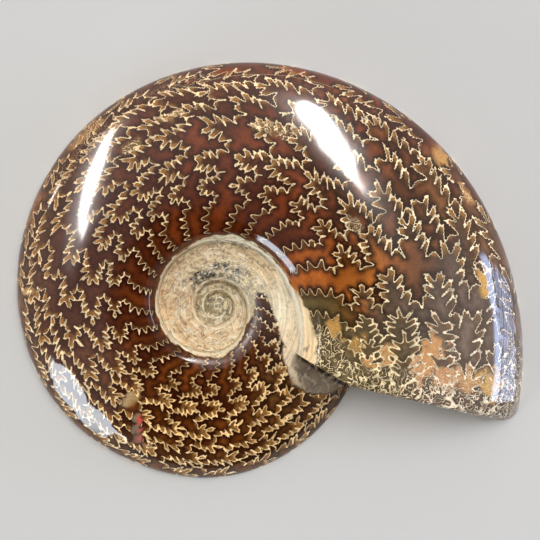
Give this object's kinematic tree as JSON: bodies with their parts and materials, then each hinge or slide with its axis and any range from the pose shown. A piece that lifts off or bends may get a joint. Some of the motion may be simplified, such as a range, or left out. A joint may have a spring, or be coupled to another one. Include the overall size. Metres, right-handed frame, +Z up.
{
  "type": "ammonite fossil half",
  "caption": "Polished ammonite fossil half, domed and brown with cream leaf-shaped suture lines, pale umbilicus and sawn aperture, lying on its flat sawn face.",
  "frame": {"origin": "middle of the half's bounding box on plan, on the flat sawn face it rests on", "axes": "+Z up out of the domed polished flank, +X along the longest extent towards the sawn aperture, +Y across"},
  "size_m": [0.1502, 0.1234, 0.0245],
  "materials": {
    "fossil": "polished"
  },
  "bodies": {
    "root": {"ammonite_half": "fossil"}
  },
  "joints": []
}
